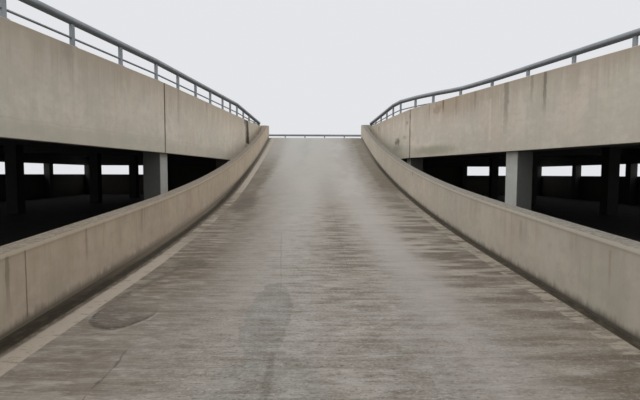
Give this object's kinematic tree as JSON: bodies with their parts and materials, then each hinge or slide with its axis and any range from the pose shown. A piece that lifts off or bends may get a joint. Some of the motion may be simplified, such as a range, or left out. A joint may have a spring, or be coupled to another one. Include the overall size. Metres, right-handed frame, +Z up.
{
  "type": "multi storey car park",
  "caption": "Open concrete car park with a ground floor, a roof deck and a straight ramp that climbs through a funnel shaped void between its parapets.",
  "frame": {"origin": "ground level on the axis of the ramp, halfway along the building", "axes": "+Y up the ramp towards the rear wall, +X to the right of someone driving up, +Z up"},
  "size_m": [36, 37.1, 4.84],
  "materials": {
    "wall_concrete": "formed concrete with weather streaks",
    "paving_concrete": "concrete with ribs across the ramp",
    "deck_concrete": "brushed concrete",
    "floor_concrete": "trowelled concrete",
    "frame_concrete": "smooth formed concrete",
    "rail_steel": "weathered grey paint"
  },
  "bodies": {
    "root": {"ramp_left_wall": "wall_concrete", "ramp_right_wall": "wall_concrete", "left_fascia_front": "wall_concrete", "left_fascia_middle": "wall_concrete", "left_fascia_end": "wall_concrete", "right_fascia_front": "wall_concrete", "right_fascia_middle": "wall_concrete", "right_fascia_end": "wall_concrete", "left_sill_wall": "wall_concrete", "right_sill_wall": "wall_concrete", "rear_sill_wall": "wall_concrete", "front_sill_walls": "wall_concrete", "left_wall_fascia": "wall_concrete", "right_wall_fascia": "wall_concrete", "rear_wall_fascia": "wall_concrete", "front_wall_fascia": "wall_concrete", "ground_floor": "floor_concrete", "ramp_slab": "paving_concrete", "roof_deck_left": "deck_concrete", "roof_deck_right": "deck_concrete", "roof_deck_rear": "deck_concrete", "ramp_end_wall": "frame_concrete", "left_edge_beam": "frame_concrete", "right_edge_beam": "frame_concrete", "left_edge_columns": "frame_concrete", "right_edge_columns": "frame_concrete", "hall_columns": "frame_concrete", "cross_beams": "frame_concrete", "left_wall_beam": "frame_concrete", "right_wall_beam": "frame_concrete", "rear_wall_beam": "frame_concrete", "front_wall_beams": "frame_concrete", "left_wall_piers": "frame_concrete", "right_wall_piers": "frame_concrete", "rear_wall_piers": "frame_concrete", "front_wall_piers": "frame_concrete", "left_handrail": "rail_steel", "right_handrail_front": "rail_steel", "right_handrail_turn": "rail_steel", "right_handrail_end": "rail_steel", "left_wall_handrail": "rail_steel", "right_wall_handrail": "rail_steel", "rear_wall_handrail": "rail_steel", "front_wall_handrails": "rail_steel"}
  },
  "joints": []
}
